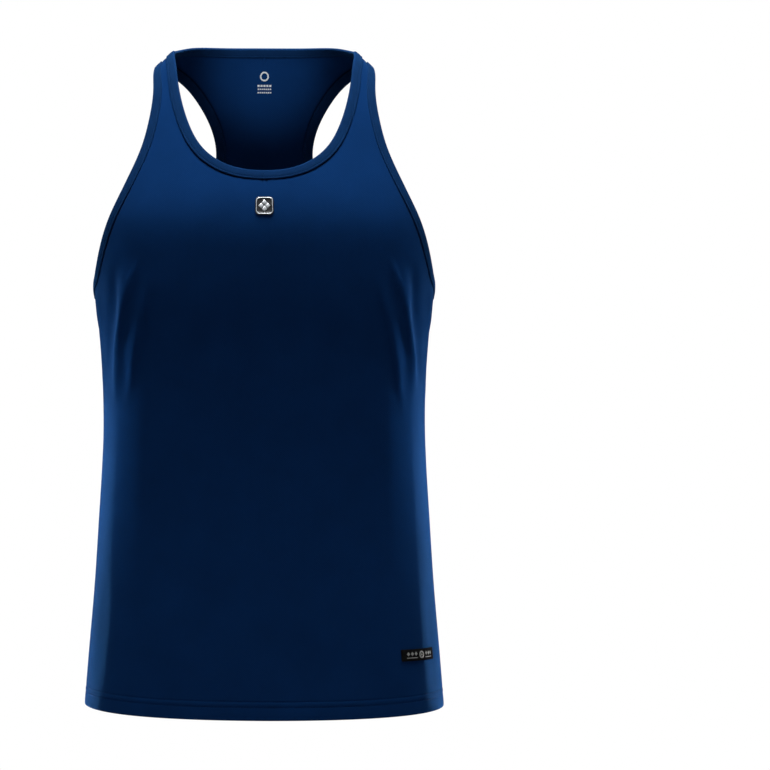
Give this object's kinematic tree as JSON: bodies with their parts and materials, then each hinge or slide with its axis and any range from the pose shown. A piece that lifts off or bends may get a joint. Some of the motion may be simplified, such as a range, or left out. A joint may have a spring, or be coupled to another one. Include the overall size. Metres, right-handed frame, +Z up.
{
  "type": "stringer vest",
  "caption": "Sleeveless racerback training vest, hollow and open at the neck, armholes and hem, with a scooped front, bound edges, a chest badge and a hem label.",
  "frame": {"origin": "midway between the two shoulder seams beside the neck, where the wearer's shoulders hold the vest", "axes": "+Z up, +Y to the back, so that the chest faces -Y, and +X to the wearer's left"},
  "size_m": [0.3836, 0.2476, 0.7191],
  "materials": {
    "knit": "navy polyester micro-mesh knit with a soft sheen",
    "binding": "navy knit strip, folded and topstitched",
    "badge": "moulded black rubber with a silver rim",
    "label": "black woven tape with grey marks"
  },
  "bodies": {
    "root": {"front_panel": "knit", "back_panel": "knit", "neck_binding": "binding", "armhole_binding_left": "binding", "armhole_binding_right": "binding", "chest_badge": "badge", "hem_label": "label"}
  },
  "joints": []
}
